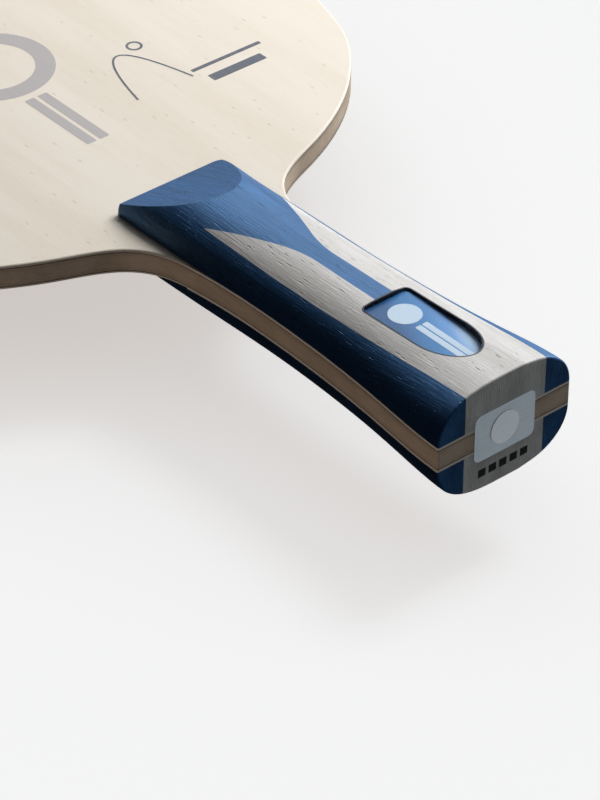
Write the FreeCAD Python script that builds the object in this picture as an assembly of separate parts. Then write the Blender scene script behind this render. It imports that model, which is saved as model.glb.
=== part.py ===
"""A table tennis blade, all wood and fibre, with a flared handle and no rubber sheets.

The frame is the blade's own: +Y runs along the handle towards the head, +X runs across, and +Z is
the outward normal of the front playing face. The origin is the centre of the overall box, so it
lies on the mid-plane of the blade, half way between the butt and the tip of the head.
"""
import FreeCAD, Part
import math
import os

Vector = FreeCAD.Vector

# --- Overall size, in millimetres
TOTAL_LENGTH = 257.0
HEAD_WIDTH = 150.0
HANDLE_LENGTH = 100.0
BUTT_HALF_WIDTH = 16.9
BUTT_Y = -TOTAL_LENGTH / 2

# --- The plies, from the outside in
FACE_PLY = 0.6
FIBRE_LAYER = 0.2
INNER_PLY = 0.75
CORE_PLY = 2.6
BLADE_TOP = CORE_PLY / 2 + INNER_PLY + FIBRE_LAYER + FACE_PLY

# --- Plan of the blade: half widths at distances from the butt
EDGE_ROUNDING = 0.4
FACE_ROUNDING = 0.45
ROUNDED_FROM = 77.0
FLARE_STATIONS = [(16.65, 6.0), (15.85, 14.0), (14.8, 24.0), (14.0, 36.0), (13.6, 50.0), (13.75, 63.0)]
SHOULDER_STATIONS = [(14.7, 75.0), (16.7, 83.6), (20.6, 88.9), (26.4, 92.5), (34.6, 95.9),
                     (41.8, 99.4), (52.6, 106.6), (61.4, 115.3), (69.0, 127.5), (73.2, 142.0)]
WIDEST_AT = 160.0
HEAD_EXPONENT = 2.25
HEAD_STEPS = 8

# --- The handle scales, whose right flank is sanded slimmer and rounder towards the head.
# Each station is the distance from the butt, the left and right half widths, the crown's height,
# and how flat the section is towards its left and its right (2 is an ellipse, more is squarer).
SCALE_STATIONS = [
    (EDGE_ROUNDING, BUTT_HALF_WIDTH, BUTT_HALF_WIDTH, 12.4, 3.0, 3.0),
    (6.0, 16.65, 16.65, 12.35, 2.85, 2.9),
    (14.0, 15.85, 15.85, 12.1, 2.65, 2.65),
    (24.0, 14.8, 14.8, 11.75, 2.6, 2.45),
    (36.0, 14.0, 14.0, 11.45, 2.6, 2.3),
    (50.0, 13.6, 13.6, 11.3, 2.6, 2.0),
    (63.0, 13.75, 13.7, 11.35, 2.6, 1.7),
    (75.0, 14.1, 13.4, 11.5, 2.6, 1.7),
    (88.0, 14.3, 13.1, 11.7, 2.6, 1.7),
    (100.0, 14.3, 12.8, 11.9, 2.6, 1.6)]
CROWN_ANGLES = [0.0, 12.0, 25.0, 40.0, 55.0, 68.0, 80.0, 90.0]
SKIRT = 1.0
ROUNDING_STEPS = 4

# --- The bevel at the scales' head end
BEVEL_LIP = 2.5
BEVEL_ANGLE = 19.0
CORNER_ROUNDING = 2.4

# --- The laminated wood pattern of each scale
SEAM_X = 10.2
STEM_HALF_WIDTH = 2.2
FUNNEL_TOP = 77.5
FUNNEL_BOTTOM = 56.5
FUNNEL_EASE = 5.0

# --- The badge let into the front scale
BADGE_HALF_WIDTH = 6.25
BADGE_TIP = 8.2
BADGE_SHOULDER = 18.5
BADGE_HEAD = 34.9
BADGE_CORNER = 1.3
BADGE_FLOOR = 9.7
BADGE_RIM = 0.35
BADGE_TRAY_FLOOR = 0.4
BADGE_PRINT = 0.3
LENS_RECESS = 0.35
LENS_GAP = 0.05

# --- The plate on the butt
PLATE_WIDTH = 15.4
PLATE_HEIGHT = 10.8
PLATE_CORNER = 1.6
PLATE_THICKNESS = 0.5
PLATE_PROUD = 0.1
ROUNDEL_RADIUS = 3.6
ROUNDEL_THICKNESS = 0.25
ROUNDEL_PROUD = 0.1

# --- Reach of the cutting shapes: clear of everything, and just past a surface
ABOVE_ALL = 40.0
MARGIN = 1.0
CLEARANCE = 0.05
SLIVER = 0.001


def at(half_width, from_butt, z=0.0):
    """A point given by its distance across, and its distance from the butt."""
    return Vector(half_width, BUTT_Y + from_butt, z)


def box(low, high):
    """A box between two corners, with y counted from the butt."""
    size = Vector(high[0] - low[0], high[1] - low[1], high[2] - low[2])
    return Part.makeBox(size.x, size.y, size.z, at(low[0], low[1], low[2]))


def smooth_edge(points, start, end):
    """A smooth curve through the points, with a set direction at each end."""
    curve = Part.BSplineCurve()
    curve.interpolate(Points=points, InitialTangent=start, FinalTangent=end)
    return curve.toShape()


def mirrored(shape, normal):
    """The shape seen in the plane through the origin with this normal."""
    return shape.mirror(Vector(0, 0, 0), normal)


# ---------------------------------------------------------------- the blade

def head_curve():
    """Points of the upper head, a squared-off ellipse from its widest place to the tip."""
    half = HEAD_WIDTH / 2
    rise = TOTAL_LENGTH - WIDEST_AT
    points = []
    for step in range(HEAD_STEPS + 1):
        angle = math.radians(90.0 * step / HEAD_STEPS)
        across = half * math.cos(angle) ** (2 / HEAD_EXPONENT)
        along = rise * math.sin(angle) ** (2 / HEAD_EXPONENT)
        points.append(at(across, WIDEST_AT + along))
    return smooth_edge(points, Vector(0, 1, 0), Vector(-1, 0, 0))


def side_curve():
    """The flank of the tang and the shoulder of the head, as one smooth curve."""
    start = at(BUTT_HALF_WIDTH, EDGE_ROUNDING)
    stations = FLARE_STATIONS + SHOULDER_STATIONS
    points = [start] + [at(across, along) for across, along in stations]
    points.append(at(HEAD_WIDTH / 2, WIDEST_AT))
    return smooth_edge(points, Vector(-0.03, 1, 0), Vector(0, 1, 0))


def butt_corner():
    """The rounded corner between the butt and the flank."""
    inset = EDGE_ROUNDING * (1 - math.sqrt(0.5))
    outer = BUTT_HALF_WIDTH
    return Part.Arc(at(outer - EDGE_ROUNDING, 0), at(outer - inset, inset),
                    at(outer, EDGE_ROUNDING)).toShape()


def blade_outline():
    """The closed outline of the whole blade, tang and head, on the mid-plane."""
    right = [butt_corner(), side_curve(), head_curve()]
    left = [mirrored(edge, Vector(1, 0, 0)) for edge in right]
    corner_x = BUTT_HALF_WIDTH - EDGE_ROUNDING
    butt = Part.makeLine(at(-corner_x, 0), at(corner_x, 0))
    return Part.Wire(Part.__sortEdges__([butt] + right + left))


def ply(low, high):
    """One full ply of the blade between two heights."""
    face = Part.Face(blade_outline())
    face.translate(Vector(0, 0, low))
    return face.extrude(Vector(0, 0, high - low))


def between(shape, start, end):
    """The part of a shape between two distances from the butt."""
    wide = HEAD_WIDTH
    return shape.common(box((-wide, start, -ABOVE_ALL), (wide, end, ABOVE_ALL)))


def upper_rim(sheet):
    """The curved outer edges round the top of a sheet."""
    top = sheet.BoundBox.ZMax
    rim = []
    for edge in sheet.Edges:
        level = edge.BoundBox.ZLength < SLIVER and abs(edge.BoundBox.ZMax - top) < SLIVER
        if level and edge.BoundBox.XLength > SLIVER and edge.BoundBox.YLength > SLIVER:
            rim.append(edge)
    return rim


def face_ply():
    """The front outer veneer. Its outer edge is eased round the head, and its top is split where
    the scale ends, at the playing surface's edge."""
    sheet = ply(BLADE_TOP - FACE_PLY, BLADE_TOP)
    tang = between(sheet, -MARGIN, ROUNDED_FROM)
    head = between(sheet, ROUNDED_FROM, TOTAL_LENGTH + MARGIN)
    head = head.makeFillet(FACE_ROUNDING, upper_rim(head))
    under_scale = between(head, ROUNDED_FROM, HANDLE_LENGTH)
    playing = between(head, HANDLE_LENGTH, TOTAL_LENGTH + MARGIN)
    return tang.fuse(under_scale).fuse(playing)


def blade_parts():
    """Every ply of the blade, from the front veneer to the back one."""
    inner_top = CORE_PLY / 2 + INNER_PLY
    fibre_top = inner_top + FIBRE_LAYER
    front = {
        "inner_ply": ply(CORE_PLY / 2, inner_top),
        "fibre_layer": ply(inner_top, fibre_top),
        "face_ply": face_ply(),
    }
    parts = {"core_ply": ply(-CORE_PLY / 2, CORE_PLY / 2)}
    for name, solid in front.items():
        parts["front_" + name] = solid
        parts["back_" + name] = mirrored(solid, Vector(0, 0, 1))
    return parts


# ---------------------------------------------------------------- the scales

def flank_points(half_width, from_butt, crown, flatness, side):
    """Points up one flank of a scale, from its edge to the middle of its crown."""
    rise = crown - BLADE_TOP
    points = []
    for degrees in CROWN_ANGLES:
        angle = math.radians(degrees)
        across = half_width * max(math.cos(angle), 0.0) ** (2 / flatness)
        points.append(at(side * across, from_butt, BLADE_TOP + rise * math.sin(angle)))
    return points


def scale_section(from_butt, left, right, crown, left_flatness, right_flatness):
    """A closed section of the scale, carried a little below the blade so it can be cut flat."""
    right_flank = flank_points(right, from_butt, crown, right_flatness, 1)
    left_flank = flank_points(left, from_butt, crown, left_flatness, -1)
    low_right = at(right, from_butt, BLADE_TOP - SKIRT)
    low_left = at(-left, from_butt, BLADE_TOP - SKIRT)
    up, across = Vector(0, 0, 1), Vector(-1, 0, 0)
    edges = [Part.makeLine(low_left, low_right), Part.makeLine(low_right, right_flank[0]),
             smooth_edge(right_flank, up, across), smooth_edge(left_flank[::-1], across, -up),
             Part.makeLine(left_flank[0], low_left)]
    return Part.Wire(edges)


def rounded_butt():
    """The first slice of the scale, whose sections shrink along a quarter circle to the butt."""
    along, left, right, crown, left_flatness, right_flatness = SCALE_STATIONS[0]
    sections = []
    for step in range(ROUNDING_STEPS + 1):
        angle = math.radians(90.0 * step / ROUNDING_STEPS)
        inset = EDGE_ROUNDING * (1 - math.sin(angle))
        from_butt = along * (1 - math.cos(angle))
        sections.append(scale_section(from_butt, left - inset, right - inset, crown - inset,
                                      left_flatness, right_flatness))
    return Part.makeLoft(sections, True, False)


def neck_plan():
    """Everything inside the scale's plan, with the right corner at its head end rounded."""
    right = SCALE_STATIONS[-1][2] + CLEARANCE
    start = HANDLE_LENGTH - 2 * CORNER_ROUNDING
    neck = box((-ABOVE_ALL, start, 0), (right, HANDLE_LENGTH, ABOVE_ALL))
    middle = at(right, HANDLE_LENGTH, ABOVE_ALL / 2)
    corner = [edge for edge in neck.Edges if edge.CenterOfMass.distanceToPoint(middle) < SLIVER]
    rest = box((-ABOVE_ALL, 0, 0), (ABOVE_ALL, start, ABOVE_ALL))
    return neck.makeFillet(CORNER_ROUNDING, corner).fuse(rest)


def full_scale():
    """The front scale as one block, flat under and at both ends, before any seam or bevel."""
    sections = [scale_section(*station) for station in SCALE_STATIONS]
    block = rounded_butt().fuse(Part.makeLoft(sections, True, False))
    above_blade = box((-ABOVE_ALL, -MARGIN, BLADE_TOP), (ABOVE_ALL, HANDLE_LENGTH + MARGIN, ABOVE_ALL))
    return block.common(above_blade).common(neck_plan())


def bevel_cutter():
    """The wedge taken off the head end, leaving a lip above the blade and a plane up to the crown."""
    lip = at(0, HANDLE_LENGTH, BLADE_TOP + BEVEL_LIP)
    steepness = math.tan(math.radians(BEVEL_ANGLE))
    corners = [lip + Vector(0, MARGIN, -MARGIN * steepness),
               lip + Vector(0, -ABOVE_ALL, ABOVE_ALL * steepness),
               lip + Vector(0, -ABOVE_ALL, ABOVE_ALL), lip + Vector(0, MARGIN, ABOVE_ALL)]
    corners.append(corners[0])
    face = Part.Face(Part.makePolygon([corner - Vector(ABOVE_ALL, 0, 0) for corner in corners]))
    return face.extrude(Vector(2 * ABOVE_ALL, 0, 0))


def funnel_side():
    """The right side of the inlay's funnel, straight from the seam and eased into the stem."""
    seam = at(SEAM_X, FUNNEL_TOP)
    throat = at(STEM_HALF_WIDTH, FUNNEL_BOTTOM)
    slope = (seam - throat).normalize()
    tangent_up = throat + slope * FUNNEL_EASE
    tangent_down = throat - Vector(0, FUNNEL_EASE, 0)
    middle = (tangent_up + tangent_down) * 0.25 + throat * 0.5
    return [Part.makeLine(at(SEAM_X, HANDLE_LENGTH + MARGIN), seam), Part.makeLine(seam, tangent_up),
            Part.Arc(tangent_up, middle, tangent_down).toShape(),
            Part.makeLine(tangent_down, at(STEM_HALF_WIDTH, BADGE_HEAD))]


def inlay_prism():
    """Plan of the dyed inlay: full width at the head end, a funnel, and a stem down to the badge."""
    right = funnel_side()
    left = [mirrored(edge, Vector(1, 0, 0)) for edge in right]
    head_end = Part.makeLine(at(-SEAM_X, HANDLE_LENGTH + MARGIN), at(SEAM_X, HANDLE_LENGTH + MARGIN))
    foot = Part.makeLine(at(-STEM_HALF_WIDTH, BADGE_HEAD), at(STEM_HALF_WIDTH, BADGE_HEAD))
    wire = Part.Wire(Part.__sortEdges__([head_end, foot] + right + left))
    return Part.Face(wire).extrude(Vector(0, 0, ABOVE_ALL))


def scale_parts():
    """One scale as its glued blocks: two dyed sides, the pale middle, and the dyed inlay."""
    whole = full_scale().cut(bevel_cutter())
    far = ABOVE_ALL
    sides = {"left": (-far, -SEAM_X), "right": (SEAM_X, far)}
    parts = {}
    for side, (low, high) in sides.items():
        parts[side + "_side"] = whole.common(box((low, -MARGIN, 0), (high, HANDLE_LENGTH + MARGIN, far)))
    middle = whole.common(box((-SEAM_X, -MARGIN, 0), (SEAM_X, HANDLE_LENGTH + MARGIN, far)))
    parts["pale_middle"] = middle.cut(inlay_prism())
    parts["dyed_inlay"] = middle.common(inlay_prism())
    return parts


# ---------------------------------------------------------------- the badge

def badge_prism(inset):
    """The badge's plan, a straight head end with eased corners and a pointed oval foot."""
    half = BADGE_HALF_WIDTH - inset
    head = BADGE_HEAD - inset
    corner = BADGE_CORNER - inset
    foot = BADGE_SHOULDER - BADGE_TIP - inset
    ellipse = Part.Ellipse(at(0, BADGE_SHOULDER - foot), at(half, BADGE_SHOULDER), at(0, BADGE_SHOULDER))
    tip = Part.Arc(ellipse, -math.pi / 2, math.pi / 2).toShape()
    diagonal = corner * (1 - math.sqrt(0.5))
    right_arc = Part.Arc(at(half, head - corner), at(half - diagonal, head - diagonal),
                         at(half - corner, head)).toShape()
    left_arc = mirrored(right_arc, Vector(1, 0, 0))
    edges = [tip, right_arc, left_arc,
             Part.makeLine(at(half, BADGE_SHOULDER), at(half, head - corner)),
             Part.makeLine(at(-half, BADGE_SHOULDER), at(-half, head - corner)),
             Part.makeLine(at(corner - half, head), at(half - corner, head))]
    wire = Part.Wire(Part.__sortEdges__(edges))
    face = Part.Face(wire)
    face.translate(Vector(0, 0, BADGE_FLOOR))
    return face.extrude(Vector(0, 0, ABOVE_ALL))


def above(shape, height):
    """The part of a badge shape above a height."""
    return shape.common(box((-ABOVE_ALL, 0, height), (ABOVE_ALL, HANDLE_LENGTH, ABOVE_ALL)))


def badge_parts(host):
    """Let the badge into its host block. Return the host with its recess, and the badge's parts."""
    outer = badge_prism(0.0)
    plug = host.common(outer)
    inner = badge_prism(BADGE_RIM)
    floor_top = BADGE_FLOOR + BADGE_TRAY_FLOOR
    print_top = floor_top + BADGE_PRINT
    above_floor = above(inner, floor_top)
    above_print = above(inner, print_top)
    lowered = plug.copy()
    lowered.translate(Vector(0, 0, -LENS_RECESS))
    parts = {
        "badge_tray": plug.cut(above_floor),
        "badge_print": plug.common(above_floor).cut(above_print),
        "badge_lens": lowered.common(above(inner, print_top + LENS_GAP)),
    }
    return host.cut(outer), parts


# ---------------------------------------------------------------- the butt plate

def rounded_plate(width, height, corner, front, back):
    """A flat plate with rounded corners, lying in the butt between two distances from it."""
    plate = box((-width / 2, front, -height / 2), (width / 2, back, height / 2))
    uprights = [edge for edge in plate.Edges if abs(edge.tangentAt(edge.FirstParameter).y) > 0.9]
    return plate.makeFillet(corner, uprights)


def disc(radius, front, back):
    """A round disc on the handle's axis between two distances from the butt."""
    return Part.makeCylinder(radius, back - front, at(0, front), Vector(0, 1, 0))


def butt_parts():
    """The plate sunk in the butt, and the round inlay in its middle."""
    plate_back = PLATE_THICKNESS - PLATE_PROUD
    plate = rounded_plate(PLATE_WIDTH, PLATE_HEIGHT, PLATE_CORNER, -PLATE_PROUD, plate_back)
    roundel_front = -PLATE_PROUD - ROUNDEL_PROUD
    roundel = disc(ROUNDEL_RADIUS, roundel_front, roundel_front + ROUNDEL_THICKNESS)
    return plate, {"butt_plate": plate.cut(roundel), "butt_roundel": roundel}


# ---------------------------------------------------------------- the whole blade

def all_parts():
    """Every piece under its own name."""
    parts = blade_parts()
    scale = scale_parts()
    for name, solid in scale.items():
        parts["back_scale_" + name] = mirrored(solid, Vector(0, 0, 1))
    scale["pale_middle"], badge = badge_parts(scale["pale_middle"])
    for name, solid in scale.items():
        parts["front_scale_" + name] = solid
    pocket, butt = butt_parts()
    for name in parts:
        parts[name] = parts[name].cut(pocket)
    parts.update(badge)
    parts.update(butt)
    return parts


def main():
    """Write each piece as one closed solid."""
    os.makedirs("parts", exist_ok=True)
    for name, shape in sorted(all_parts().items()):
        solids = shape.Solids
        if len(solids) != 1 or not solids[0].isValid():
            raise ValueError(name + " is not one valid solid")
        solids[0].exportStep(os.path.join("parts", name + ".step"))
        print(name, round(solids[0].Volume, 1))


main()
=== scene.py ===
"""Looks for a bare table tennis blade with a two-tone flared handle."""
import math
import bpy
from mathutils import Matrix, Vector


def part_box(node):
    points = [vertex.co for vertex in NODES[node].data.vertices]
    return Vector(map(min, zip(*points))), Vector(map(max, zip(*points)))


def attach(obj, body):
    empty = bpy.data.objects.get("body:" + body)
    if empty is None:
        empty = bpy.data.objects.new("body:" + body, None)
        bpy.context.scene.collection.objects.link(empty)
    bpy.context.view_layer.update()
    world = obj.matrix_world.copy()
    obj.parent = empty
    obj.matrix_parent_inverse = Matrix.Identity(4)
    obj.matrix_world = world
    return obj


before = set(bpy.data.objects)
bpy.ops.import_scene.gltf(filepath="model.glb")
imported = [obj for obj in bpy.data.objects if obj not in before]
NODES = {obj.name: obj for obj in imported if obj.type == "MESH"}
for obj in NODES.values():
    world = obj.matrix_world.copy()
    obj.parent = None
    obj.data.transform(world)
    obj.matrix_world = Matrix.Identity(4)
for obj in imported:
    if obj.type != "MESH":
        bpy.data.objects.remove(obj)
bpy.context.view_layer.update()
MM = 0.001

# --- Places, all read from the frame
CORE_LOW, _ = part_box("core_ply")
_, FACE_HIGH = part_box("front_face_ply")
BADGE_LOW, BADGE_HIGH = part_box("badge_print")
PLATE_LOW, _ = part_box("butt_plate")
BUTT = CORE_LOW.y

# --- Prints stand just clear of what they are printed on
PRINT_CLEARANCE = 0.005 * MM
FACE_Z = FACE_HIGH.z + PRINT_CLEARANCE
INK_LIFT = Vector((0, 0, 0.02 * MM))
BADGE_INK_LIFT = Vector((0, 0, 0.03 * MM))

# --- The row of dashes on the butt, in millimetres
DASH_COUNT = 5
DASH_LEFT = -6.4
DASH_PITCH = 2.7
DASH_WIDTH = 1.9
DASH_HALF_HEIGHT = 0.9
DASH_DROP = 3.0

# --- The studio
FLOOR_DROP = 31 * MM
FLOOR_HALF_SIZE = 3.0
AIM_FROM_BUTT = 80

# --- The camera: turned and tilted in degrees, and aimed at a place on the mid-plane
CAMERA_AZIMUTH = 40.275
CAMERA_ELEVATION = 36.571
CAMERA_ROLL = 0.163
CAMERA_DISTANCE = 0.697
CAMERA_TARGET = (-24.2, 31.1)
SENSOR_WIDTH = 36.0
FOCAL_LENGTH = 164.8


def at(across, from_butt, z=0.0):
    """A point given in millimetres across the blade and from its butt, at a height in metres."""
    return Vector((across * MM, BUTT + from_butt * MM, z))


# ------------------------------------------------------------------ material building

class Look:
    """One material, with short calls for the nodes that the materials here are made of."""

    def __init__(self, name):
        self.material = bpy.data.materials.new(name)
        self.material.use_nodes = True
        self.tree = self.material.node_tree
        self.tree.nodes.clear()
        self.surface = self.tree.nodes.new("ShaderNodeBsdfPrincipled")
        self.output = self.tree.nodes.new("ShaderNodeOutputMaterial")
        self.link(self.surface.outputs[0], self.output.inputs["Surface"])
        self.place = self.tree.nodes.new("ShaderNodeTexCoord").outputs["Object"]

    def link(self, source, target):
        """Join two sockets, or set a plain value."""
        if isinstance(source, bpy.types.NodeSocket):
            self.tree.links.new(source, target)
        else:
            target.default_value = source

    def set(self, **values):
        """Set the surface's own sockets; an underscore in a name stands for a space."""
        for name, value in values.items():
            self.link(value, self.surface.inputs[name.replace("_", " ")])

    def stretched(self, across, along, shift=(0, 0, 0), deep=None):
        """Coordinates that count one unit for each step across, along and deep, in millimetres."""
        node = self.tree.nodes.new("ShaderNodeMapping")
        self.link(self.place, node.inputs["Vector"])
        deep = deep or across
        node.inputs["Scale"].default_value = (1 / (across * MM), 1 / (along * MM), 1 / (deep * MM))
        node.inputs["Location"].default_value = shift
        return node.outputs["Vector"]

    def noise(self, vector, detail=2.0, roughness=0.5):
        """Smooth noise from 0 to 1."""
        node = self.tree.nodes.new("ShaderNodeTexNoise")
        self.link(vector, node.inputs["Vector"])
        node.inputs["Scale"].default_value = 1.0
        node.inputs["Detail"].default_value = detail
        node.inputs["Roughness"].default_value = roughness
        return node.outputs["Fac"]

    def cells(self, vector):
        """Distance to the nearest random point, and a random number for that point."""
        node = self.tree.nodes.new("ShaderNodeTexVoronoi")
        self.link(vector, node.inputs["Vector"])
        node.inputs["Scale"].default_value = 1.0
        split = self.tree.nodes.new("ShaderNodeSeparateColor")
        self.link(node.outputs["Color"], split.inputs[0])
        return node.outputs["Distance"], split.outputs[0]

    def maths(self, operation, first, second=0.0):
        """One arithmetic step."""
        node = self.tree.nodes.new("ShaderNodeMath")
        node.operation = operation
        self.link(first, node.inputs[0])
        self.link(second, node.inputs[1])
        return node.outputs[0]

    def band(self, value, low, high, to_low=0.0, to_high=1.0):
        """Value mapped smoothly from one range to another, and held at its ends."""
        node = self.tree.nodes.new("ShaderNodeMapRange")
        node.interpolation_type = "SMOOTHSTEP"
        self.link(value, node.inputs["Value"])
        node.inputs["From Min"].default_value = low
        node.inputs["From Max"].default_value = high
        node.inputs["To Min"].default_value = to_low
        node.inputs["To Max"].default_value = to_high
        return node.outputs["Result"]

    def mix(self, share, first, second):
        """Two colours mixed by a share."""
        node = self.tree.nodes.new("ShaderNodeMix")
        node.data_type = "RGBA"
        node.clamp_factor = True
        self.link(share, node.inputs["Factor"])
        self.link(first, node.inputs[6])
        self.link(second, node.inputs[7])
        return node.outputs[2]

    def bump(self, height, distance):
        """Raise the surface by a height from 0 to 1 over a distance in metres."""
        node = self.tree.nodes.new("ShaderNodeBump")
        node.inputs["Distance"].default_value = distance
        self.link(height, node.inputs["Height"])
        self.link(node.outputs[0], self.surface.inputs["Normal"])

    def pores(self, across, along, size, share, shift=(0, 0, 0)):
        """Open pores: thin dashes along the grain, in a share of the cells of that size."""
        vector = self.stretched(across, along, shift)
        distance, chance = self.cells(vector)
        dash = self.band(distance, size, size * 0.45)
        present = self.band(chance, 1 - share, 1 - share + 0.08)
        return self.maths("MULTIPLY", dash, present)


def colour(red, green, blue):
    """An opaque linear colour."""
    return (red, green, blue, 1.0)


# ------------------------------------------------------------------ materials

def veneer():
    """Pale fine-grained veneer, with faint bands and short brown flecks along the grain."""
    look = Look("face_veneer")
    broad = look.noise(look.stretched(9, 90), detail=3.0, roughness=0.55)
    fibre = look.noise(look.stretched(0.3, 5), detail=3.0, roughness=0.6)
    flecks = look.pores(1.3, 6.5, 0.15, 0.42)
    small = look.pores(0.8, 4, 0.15, 0.25, shift=(3, 7, 1))
    wood = look.mix(look.band(broad, 0.35, 0.68), colour(0.755, 0.69, 0.60), colour(0.70, 0.63, 0.53))
    wood = look.mix(look.band(fibre, 0.3, 0.75, 0.0, 0.3), wood, colour(0.81, 0.755, 0.675))
    wood = look.mix(look.maths("MULTIPLY", small, 0.28), wood, colour(0.50, 0.38, 0.27))
    wood = look.mix(look.maths("MULTIPLY", flecks, 0.45), wood, colour(0.42, 0.30, 0.20))
    hollow = look.maths("SUBTRACT", look.maths("MULTIPLY", fibre, 0.35), look.maths("ADD", flecks, small))
    look.bump(hollow, 0.03 * MM)
    look.set(Base_Color=wood, Roughness=look.band(fibre, 0.2, 0.8, 0.42, 0.58))
    look.set(Specular_IOR_Level=0.3)
    return look.material


def edge_wood(name, light, dark, streak):
    """The sawn and sanded edge of a ply, streaked along the ply."""
    look = Look(name)
    broad = look.noise(look.stretched(6, 14, deep=6), detail=3.0, roughness=0.6)
    lines = look.noise(look.stretched(1.2, 6, deep=0.3), detail=4.0, roughness=0.65)
    pores = look.pores(0.5, 2.2, 0.2, 0.35)
    spots = look.pores(3.0, 4.5, 0.2, 0.2, shift=(2, 4, 6))
    wood = look.mix(look.band(broad, 0.3, 0.7), light, dark)
    wood = look.mix(look.band(lines, 0.42, 0.7, 0.0, 0.5), wood, streak)
    wood = look.mix(look.maths("MULTIPLY", pores, 0.4), wood, colour(0.16, 0.10, 0.07))
    wood = look.mix(look.maths("MULTIPLY", spots, 0.45), wood, colour(0.30, 0.12, 0.06))
    look.bump(look.maths("SUBTRACT", lines, pores), 0.04 * MM)
    look.set(Base_Color=wood, Roughness=look.band(lines, 0.2, 0.8, 0.5, 0.68))
    look.set(Specular_IOR_Level=0.25)
    return look.material


def fibre_cloth():
    """The thin dark edge of the resin-bonded cloth."""
    look = Look("fibre_cloth")
    threads = look.noise(look.stretched(0.3, 0.9), detail=2.0)
    look.set(Base_Color=look.mix(threads, colour(0.05, 0.035, 0.025), colour(0.16, 0.11, 0.08)))
    look.set(Roughness=look.band(threads, 0.2, 0.8, 0.35, 0.55), Specular_IOR_Level=0.2)
    look.bump(threads, 0.02 * MM)
    return look.material


def dyed_wood(name, deep, body, light, pore, shine):
    """Open-pored wood dyed right through: bands, fine streaks, long dark pores and pale rays."""
    look = Look(name)
    broad = look.noise(look.stretched(4.5, 45, deep=9), detail=3.0, roughness=0.55)
    streaks = look.noise(look.stretched(0.28, 7, deep=3), detail=4.0, roughness=0.65)
    long_pores = look.pores(0.8, 5.0, 0.2, 0.6)
    short_pores = look.pores(0.45, 2.4, 0.2, 0.6, shift=(5, 2, 9))
    rays = look.pores(0.7, 1.1, 0.2, 0.22, shift=(1, 8, 4))
    patches = look.band(look.noise(look.stretched(6, 16, (2, 5, 3)), detail=2.0), 0.38, 0.6)
    wood = look.mix(look.band(broad, 0.32, 0.68), body, deep)
    wood = look.mix(look.band(streaks, 0.5, 0.75, 0.0, 0.55), wood, light)
    wood = look.mix(look.band(streaks, 0.5, 0.28, 0.0, 0.55), wood, deep)
    wood = look.mix(look.maths("MULTIPLY", rays, 0.5), wood, light)
    wood = look.mix(look.maths("MULTIPLY", short_pores, look.maths("MULTIPLY", patches, 0.95)), wood, pore)
    wood = look.mix(look.maths("MULTIPLY", long_pores, look.band(patches, 0, 1, 0.35, 0.95)), wood, pore)
    open_pores = look.maths("ADD", long_pores, look.maths("MULTIPLY", short_pores, 0.5))
    relief = look.maths("SUBTRACT", look.maths("MULTIPLY", streaks, 0.8), open_pores)
    look.bump(relief, 0.12 * MM)
    look.set(Base_Color=wood, Roughness=look.band(streaks, 0.25, 0.75, shine, shine + 0.16))
    return look


def blue_wood():
    """Dark blue dyed wood with a satin seal."""
    look = dyed_wood("dyed_blue_wood", colour(0.007, 0.045, 0.135), colour(0.018, 0.085, 0.235),
                     colour(0.06, 0.19, 0.42), colour(0.001, 0.006, 0.025), 0.44)
    look.set(IOR=1.75, Specular_IOR_Level=1.0, Specular_Tint=colour(0.30, 0.58, 1.0))
    return look.material


def grey_wood():
    """Warm grey dyed wood with a satin seal."""
    look = dyed_wood("dyed_grey_wood", colour(0.48, 0.465, 0.45), colour(0.63, 0.62, 0.61),
                     colour(0.78, 0.77, 0.765), colour(0.20, 0.18, 0.17), 0.48)
    look.set(Specular_IOR_Level=0.8)
    return look.material


def foil_with_painted_reflection():
    """Printed foil, graded from deep blue at its near head corner to a pale far foot. The blue grade is
    print, and the pale far foot is a painted reflection of the lights.
    """
    look = Look("badge_print")
    split = look.tree.nodes.new("ShaderNodeSeparateXYZ")
    look.link(look.place, split.inputs[0])
    across = look.band(split.outputs["X"], BADGE_LOW.x, BADGE_HIGH.x)
    down = look.band(split.outputs["Y"], BADGE_HIGH.y, BADGE_LOW.y)
    # The grade runs across and down the badge. It is print, and towards the far foot it is a painted
    # reflection.
    print_and_reflection_grade = look.maths("ADD", look.maths("MULTIPLY", across, 0.6), look.maths("MULTIPLY", down, 0.5))
    ink = look.mix(look.band(print_and_reflection_grade, 0.1, 0.55), colour(0.012, 0.085, 0.24), colour(0.035, 0.22, 0.50))
    ink = look.mix(look.band(print_and_reflection_grade, 0.5, 0.85), ink, colour(0.18, 0.38, 0.72))
    # Pale blue-white at the far foot is a painted reflection of the lights, not ink.
    ink = look.mix(look.band(print_and_reflection_grade, 0.8, 1.0), ink, colour(0.62, 0.75, 0.92))
    speckle = look.noise(look.stretched(0.12, 0.12), detail=1.0)
    ink = look.mix(look.band(speckle, 0.3, 0.8, 0.0, 0.12), ink, colour(0.5, 0.7, 0.95))
    look.set(Base_Color=ink, Roughness=look.band(speckle, 0.2, 0.8, 0.3, 0.42))
    look.bump(speckle, 0.004 * MM)
    return look.material


def white_ink():
    """White print under the badge's lens."""
    look = Look("badge_white")
    speckle = look.noise(look.stretched(0.2, 0.2), detail=2.0)
    look.set(Base_Color=look.mix(speckle, colour(0.74, 0.78, 0.84), colour(0.90, 0.93, 0.96)))
    look.set(Roughness=look.band(speckle, 0.2, 0.8, 0.35, 0.5))
    return look.material


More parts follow.
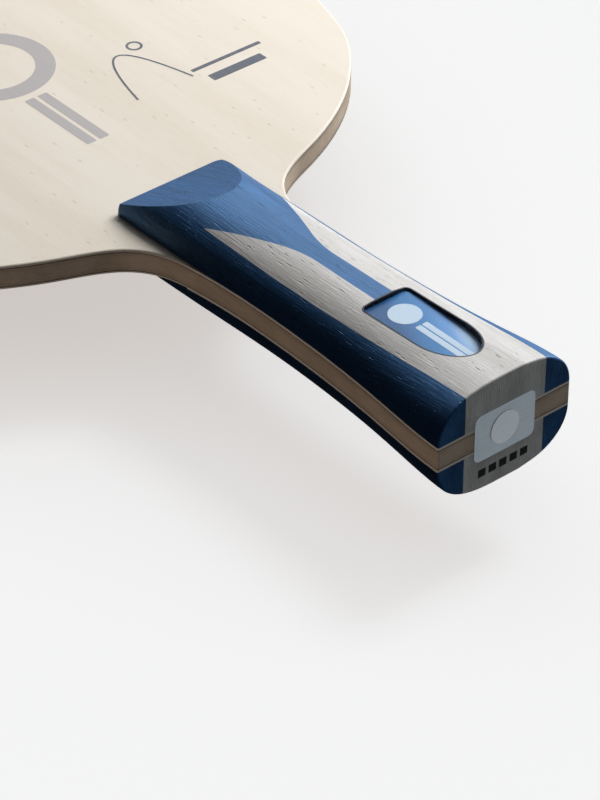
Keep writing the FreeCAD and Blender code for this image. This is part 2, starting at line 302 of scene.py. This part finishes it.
def clear_resin():
    """A clear lens: what lies under it shows, and it mirrors more at a slant."""
    look = Look("badge_lens")
    ripple = look.noise(look.stretched(3, 4), detail=1.0)
    look.tree.nodes.remove(look.surface)
    clear = look.tree.nodes.new("ShaderNodeBsdfTransparent")
    clear.inputs["Color"].default_value = (0.93, 0.97, 1.0, 1.0)
    gloss = look.tree.nodes.new("ShaderNodeBsdfGlossy")
    look.link(look.band(ripple, 0.3, 0.7, 0.05, 0.12), gloss.inputs["Roughness"])
    gloss.inputs["Color"].default_value = (1, 1, 1, 1)
    bump = look.tree.nodes.new("ShaderNodeBump")
    bump.inputs["Distance"].default_value = 0.02 * MM
    look.link(ripple, bump.inputs["Height"])
    look.link(bump.outputs[0], gloss.inputs["Normal"])
    slant = look.tree.nodes.new("ShaderNodeLayerWeight").outputs["Facing"]
    mirrored = look.maths("ADD", look.maths("MULTIPLY", look.maths("POWER", slant, 5.0), 0.96), 0.04)
    both = look.tree.nodes.new("ShaderNodeMixShader")
    look.link(mirrored, both.inputs[0])
    look.link(clear.outputs[0], both.inputs[1])
    look.link(gloss.outputs[0], both.inputs[2])
    look.link(both.outputs[0], look.output.inputs["Surface"])
    return look.material


def dark_recess():
    """The near-black wall and floor of the badge's recess."""
    look = Look("badge_tray")
    # Soft patches of two near-black tones over the whole tray.
    tray_mottle = look.noise(look.stretched(0.6, 0.8), detail=3.0)
    look.set(Base_Color=look.mix(tray_mottle, colour(0.004, 0.007, 0.014), colour(0.014, 0.022, 0.036)))
    look.set(Roughness=look.band(tray_mottle, 0.2, 0.8, 0.35, 0.6))
    look.bump(tray_mottle, 0.02 * MM)
    return look.material


def satin_metal(name, dark, light, metal):
    """Satin metal or foil, brushed faintly across."""
    look = Look(name)
    node = look.tree.nodes.new("ShaderNodeMapping")
    look.link(look.place, node.inputs["Vector"])
    node.inputs["Scale"].default_value = (1 / (2.5 * MM), 1 / (2.5 * MM), 1 / (0.09 * MM))
    brushed = look.noise(node.outputs[0], detail=3.0, roughness=0.6)
    cloud = look.noise(look.stretched(4, 4), detail=2.0)
    shade = look.mix(look.band(brushed, 0.3, 0.7), dark, light)
    look.set(Base_Color=look.mix(look.band(cloud, 0.35, 0.7, 0.0, 0.3), shade, dark))
    look.set(Roughness=look.band(brushed, 0.2, 0.8, 0.36, 0.52))
    look.set(Metallic=metal)
    look.bump(brushed, 0.01 * MM)
    return look.material


def printed_ink(name, tone, wood, cover):
    """Ink printed on wood. It covers most of the grain, and the pores break it."""
    look = Look(name)
    fibre = look.noise(look.stretched(0.35, 14), detail=3.0, roughness=0.6)
    flecks = look.pores(1.5, 11, 0.16, 0.42)
    thin = look.band(fibre, 0.35, 0.8, 1 - cover, 1 - cover + 0.12)
    shade = look.mix(thin, tone, wood)
    look.set(Base_Color=look.mix(look.maths("MULTIPLY", flecks, 0.35), shade, colour(0.1, 0.08, 0.07)))
    look.set(Roughness=look.band(fibre, 0.2, 0.8, 0.4, 0.55))
    look.bump(look.maths("SUBTRACT", look.maths("MULTIPLY", fibre, 0.35), flecks), 0.02 * MM)
    return look.material


# ------------------------------------------------------------------ meshes

def add_piece(name, vertices, faces, material):
    """A new mesh that rides with the blade and takes its finish from a slot."""
    mesh = bpy.data.meshes.new(name)
    mesh.from_pydata([tuple(vertex) for vertex in vertices], [], faces)
    mesh.materials.append(material)
    mesh.validate()
    piece = bpy.data.objects.new(name, mesh)
    bpy.context.scene.collection.objects.link(piece)
    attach(piece, "root")
    return piece


def slab(name, outline, lift, material):
    """A thin closed plate: a flat outline, and the same outline moved by lift."""
    count = len(outline)
    vertices = list(outline) + [point + lift for point in outline]
    sides = [(i, (i + 1) % count, count + (i + 1) % count, count + i) for i in range(count)]
    bottom = tuple(reversed(range(count)))
    top = tuple(range(count, 2 * count))
    return add_piece(name, vertices, [bottom, top] + sides, material)


def ring(name, centre, outer, inner, lift, material, steps=96):
    """A flat closed ring, level with the face, with its radii in millimetres."""
    vertices = []
    for height in (Vector((0, 0, 0)), lift):
        for radius in (outer, inner):
            for step in range(steps):
                angle = 2 * math.pi * step / steps
                flat = Vector((math.cos(angle), math.sin(angle), 0)) * radius * MM
                vertices.append(centre + flat + height)
    faces = []
    for i in range(steps):
        j = (i + 1) % steps
        low_out, low_in, high_out, high_in = (k * steps for k in range(4))
        faces.append((low_out + j, low_out + i, low_in + i, low_in + j))
        faces.append((high_out + i, high_out + j, high_in + j, high_in + i))
        faces.append((low_out + i, low_out + j, high_out + j, high_out + i))
        faces.append((low_in + j, low_in + i, high_in + i, high_in + j))
    return add_piece(name, vertices, faces, material)


def disc_outline(across, from_butt, radius, z, steps=64):
    """Points round a circle, in millimetres on the blade."""
    turns = [2 * math.pi * step / steps for step in range(steps)]
    return [at(across + radius * math.cos(a), from_butt + radius * math.sin(a), z) for a in turns]


def bar_outline(low, high, z, rounding=0.25, steps=5):
    """A bar with rounded corners, between two corners in millimetres on the blade."""
    points = []
    centres = [(high[0], high[1], 0), (low[0], high[1], 1), (low[0], low[1], 2), (high[0], low[1], 3)]
    for x, y, quarter in centres:
        inward_x = -rounding if quarter in (0, 3) else rounding
        inward_y = -rounding if quarter in (0, 1) else rounding
        for step in range(steps):
            angle = math.pi / 2 * (quarter + step / (steps - 1))
            round_x, round_y = rounding * math.cos(angle), rounding * math.sin(angle)
            points.append(at(x + inward_x + round_x, y + inward_y + round_y, z))
    return points


def ribbon_outline(path, width, z):
    """The outline of a line of a width drawn along a path, in millimetres on the blade."""
    left, right = [], []
    for i, (x, y) in enumerate(path):
        x0, y0 = path[max(i - 1, 0)]
        x1, y1 = path[min(i + 1, len(path) - 1)]
        length = math.hypot(x1 - x0, y1 - y0)
        side = (-(y1 - y0) / length * width / 2, (x1 - x0) / length * width / 2)
        left.append(at(x + side[0], y + side[1], z))
        right.append(at(x - side[0], y - side[1], z))
    return right + left[::-1]


# ------------------------------------------------------------------ prints

def hop(start, end, height, steps=24):
    """Points of one bounce of a ball, as a parabola between two places on the blade."""
    points = []
    for step in range(steps + 1):
        share = step / steps
        x = start[0] + (end[0] - start[0]) * share
        y = start[1] + (end[1] - start[1]) * share + height * 4 * share * (1 - share)
        points.append((x, y))
    return points


def blade_prints():
    """Plain marks on the front face: a ring with two stripes, a bounce path, and two bars."""
    wood = colour(0.76, 0.67, 0.54)
    grey = printed_ink("grey_print", colour(0.36, 0.34, 0.36), wood, 0.92)
    navy = printed_ink("navy_print", colour(0.028, 0.045, 0.085), wood, 0.97)
    ring("mark_ring", at(0, 163, FACE_Z), 14.0, 9.6, INK_LIFT, grey)
    slab("mark_stripe_left", bar_outline((-2.9, 125), (-0.45, 147), FACE_Z), INK_LIFT, grey)
    slab("mark_stripe_right", bar_outline((0.45, 125), (2.9, 147), FACE_Z), INK_LIFT, grey)
    path = hop((16, 132), (31, 132), 17)
    slab("flight_path", ribbon_outline(path, 0.5, FACE_Z), INK_LIFT, navy)
    ring("flight_ball", at(29.0, 150.0, FACE_Z), 1.9, 1.3, INK_LIFT, navy, steps=48)
    slab("thin_bar", bar_outline((32.0, 133.2), (51.0, 134.3), FACE_Z), INK_LIFT, navy)
    slab("thick_bar", bar_outline((33.5, 127.6), (48.0, 130.2), FACE_Z), INK_LIFT, navy)


def badge_prints():
    """Plain white marks under the lens: a disc and two stripes."""
    white = white_ink()
    z = BADGE_HIGH.z + PRINT_CLEARANCE
    lift = BADGE_INK_LIFT
    slab("badge_disc", disc_outline(0, 28.6, 3.4, z), lift, white)
    slab("badge_stripe_left", bar_outline((-1.55, 10.2), (-0.15, 24.0), z), lift, white)
    slab("badge_stripe_right", bar_outline((0.15, 10.2), (1.55, 24.0), z), lift, white)


def butt_prints():
    """A row of plain dark dashes under the plate."""
    ink = printed_ink("butt_print", colour(0.012, 0.012, 0.014), colour(0.3, 0.29, 0.28), 0.98)
    centre_z = PLATE_LOW.z - DASH_DROP * MM
    half_height = DASH_HALF_HEIGHT * MM
    outward = Vector((0, -INK_LIFT.z, 0))
    for index in range(DASH_COUNT):
        left = (DASH_LEFT + DASH_PITCH * index) * MM
        right = left + DASH_WIDTH * MM
        outline = [Vector((x, BUTT - PRINT_CLEARANCE, centre_z + side * half_height))
                   for x, side in ((left, -1), (right, -1), (right, 1), (left, 1))]
        slab("butt_dash_%d" % (index + 1), outline, outward, ink)


# ------------------------------------------------------------------ finishes on the CAD nodes

def metal_finishes():
    """The butt plate's and its roundel's own metals."""
    plate = satin_metal("butt_plate", colour(0.30, 0.335, 0.37), colour(0.41, 0.45, 0.49), 0.6)
    roundel = satin_metal("butt_roundel", colour(0.72, 0.77, 0.84), colour(0.86, 0.90, 0.95), 0.1)
    return plate, roundel


def finish_nodes():
    """Give every CAD node its material."""
    core = edge_wood("core_wood", colour(0.62, 0.49, 0.38), colour(0.50, 0.385, 0.29),
                     colour(0.72, 0.59, 0.47))
    inner = edge_wood("inner_veneer", colour(0.56, 0.43, 0.33), colour(0.45, 0.34, 0.25),
                      colour(0.66, 0.53, 0.42))
    blue = blue_wood()
    grey = grey_wood()
    looks = {"face_ply": veneer(), "fibre_layer": fibre_cloth(), "inner_ply": inner,
             "scale_left_side": blue, "scale_right_side": blue, "scale_dyed_inlay": blue,
             "scale_pale_middle": grey}
    materials = {"core_ply": core, "badge_tray": dark_recess(), "badge_print": foil_with_painted_reflection(),
                 "badge_lens": clear_resin()}
    materials["butt_plate"], materials["butt_roundel"] = metal_finishes()
    for side in ("front", "back"):
        for name, material in looks.items():
            materials[side + "_" + name] = material
    for name, node in NODES.items():
        node.data.materials.clear()
        node.data.materials.append(materials[name])


# ------------------------------------------------------------------ studio

def studio_floor():
    """A plain pale floor under the blade. It takes soft shadows and throws no light back."""
    z = CORE_LOW.z - FLOOR_DROP
    half = FLOOR_HALF_SIZE
    corners = [(-half, -half, z), (half, -half, z), (half, half, z), (-half, half, z)]
    mesh = bpy.data.meshes.new("floor")
    mesh.from_pydata(corners, [], [(0, 1, 2, 3)])
    look = Look("floor")
    tone = look.noise(look.stretched(400, 400), detail=1.0)
    look.set(Base_Color=look.mix(tone, colour(0.80, 0.80, 0.80), colour(0.81, 0.81, 0.81)))
    look.set(Roughness=1.0, Specular_IOR_Level=0.0)
    look.set(Emission_Color=colour(1.0, 0.932, 0.885), Emission_Strength=0.54)
    mesh.materials.append(look.material)
    floor = bpy.data.objects.new("floor", mesh)
    bpy.context.scene.collection.objects.link(floor)
    floor.visible_diffuse = False
    floor.visible_glossy = False
    floor.visible_shadow = False
    return floor


def reach(light, things, wanted):
    """Let a light reach these things alone, or everything except them."""
    group = bpy.data.collections.new(light.name + "_reach")
    for thing in things:
        group.objects.link(thing)
    for entry in group.collection_objects:
        entry.light_linking.link_state = "INCLUDE" if wanted else "EXCLUDE"
    light.light_linking.receiver_collection = group


def aim(light, direction):
    """Turn a light to shine along a direction, and put it in the scene."""
    light.rotation_mode = "QUATERNION"
    light.rotation_quaternion = Vector(direction).to_track_quat("-Z", "Y")
    bpy.context.scene.collection.objects.link(light)


def sun(name, strength, spread, direction, tint, floor):
    """A soft distant light for the floor."""
    data = bpy.data.lights.new(name, "SUN")
    data.energy = strength
    data.angle = math.radians(spread)
    data.color = tint
    light = bpy.data.objects.new(name, data)
    aim(light, direction)
    reach(light, [floor], True)


def softbox(name, brightness, size, azimuth, elevation, distance, tint):
    """A soft panel that faces the middle of the handle. Brightness 1 lights white fully at square."""
    data = bpy.data.lights.new(name, "AREA")
    data.shape = "SQUARE"
    data.size = size
    data.energy = brightness * (math.pi * distance) ** 2
    data.color = tint
    light = bpy.data.objects.new(name, data)
    turn, climb = math.radians(azimuth), math.radians(elevation)
    away = Vector((math.cos(turn) * math.cos(climb), math.sin(turn) * math.cos(climb), math.sin(climb)))
    light.location = at(0, AIM_FROM_BUTT) + away * distance
    aim(light, -away)
    return light


def light_blade(floor):
    """A key from the right, a weaker one behind it, and faint cards at each side, front and butt."""
    warm, cool = (1.0, 0.83, 0.72), (0.90, 0.97, 1.0)
    blue_pieces = [piece for name, piece in NODES.items() if name.endswith(("_side", "_dyed_inlay"))]
    plates = [NODES["butt_plate"], NODES["butt_roundel"]]
    key = softbox("key", 1.24, 0.34, 2, 42, 0.62, (1.0, 0.995, 0.985))
    back_key = softbox("back_key", 0.33, 0.40, 48, 38, 0.62, (0.98, 0.99, 1.0))
    right_card = softbox("right_card", 0.38, 0.40, 0, 2, 0.55, cool)
    front_card = softbox("front_card", 0.10, 0.40, 285, -14, 0.50, cool)
    left_card = softbox("left_card", 0.18, 0.40, 180, -18, 0.50, warm)
    plate_card = softbox("plate_card", 0.17, 0.30, -50, -36, 0.40, cool)
    for panel in (key, right_card, front_card):
        reach(panel, [floor], False)
    reach(back_key, [floor, NODES["badge_lens"]], False)
    front_card.visible_glossy = False
    reach(left_card, [floor] + blue_pieces, False)
    reach(plate_card, plates, True)


def studio(floor):
    """Lights for the blade, lights for the floor alone, and a faint grey world."""
    light_blade(floor)
    pale_blue = (0.90, 1.0, 1.073)
    sun("floor_key", 0.40, 20, (-0.54, 0.0, -1.0), pale_blue, floor)
    sun("floor_sky", 1.25, 150, (-0.25, 0.15, -1.0), pale_blue, floor)
    world = bpy.data.worlds.new("studio")
    world.use_nodes = True
    background = world.node_tree.nodes["Background"]
    background.inputs["Color"].default_value = (0.9, 0.95, 1.0, 1.0)
    background.inputs["Strength"].default_value = 0.02
    bpy.context.scene.world = world
    bpy.context.scene.view_settings.view_transform = "Standard"


def camera():
    """A long lens from behind the butt's left, looking down at the handle."""
    azimuth, elevation = math.radians(CAMERA_AZIMUTH), math.radians(CAMERA_ELEVATION)
    back = Vector((-math.sin(azimuth) * math.cos(elevation), -math.cos(azimuth) * math.cos(elevation),
                   math.sin(elevation)))
    right = (-back).cross(Vector((0, 0, 1))).normalized()
    up = right.cross(-back)
    level = Matrix((right, up, back)).transposed().to_4x4()
    data = bpy.data.cameras.new("camera")
    data.sensor_width = SENSOR_WIDTH
    data.lens = FOCAL_LENGTH
    view = bpy.data.objects.new("camera", data)
    place = at(*CAMERA_TARGET) + back * CAMERA_DISTANCE
    roll = Matrix.Rotation(math.radians(CAMERA_ROLL), 4, "Z")
    view.matrix_world = Matrix.Translation(place) @ level @ roll
    bpy.context.scene.collection.objects.link(view)
    bpy.context.scene.camera = view


# ------------------------------------------------------------------ the scene

finish_nodes()
blade_prints()
badge_prints()
butt_prints()
studio(studio_floor())
camera()
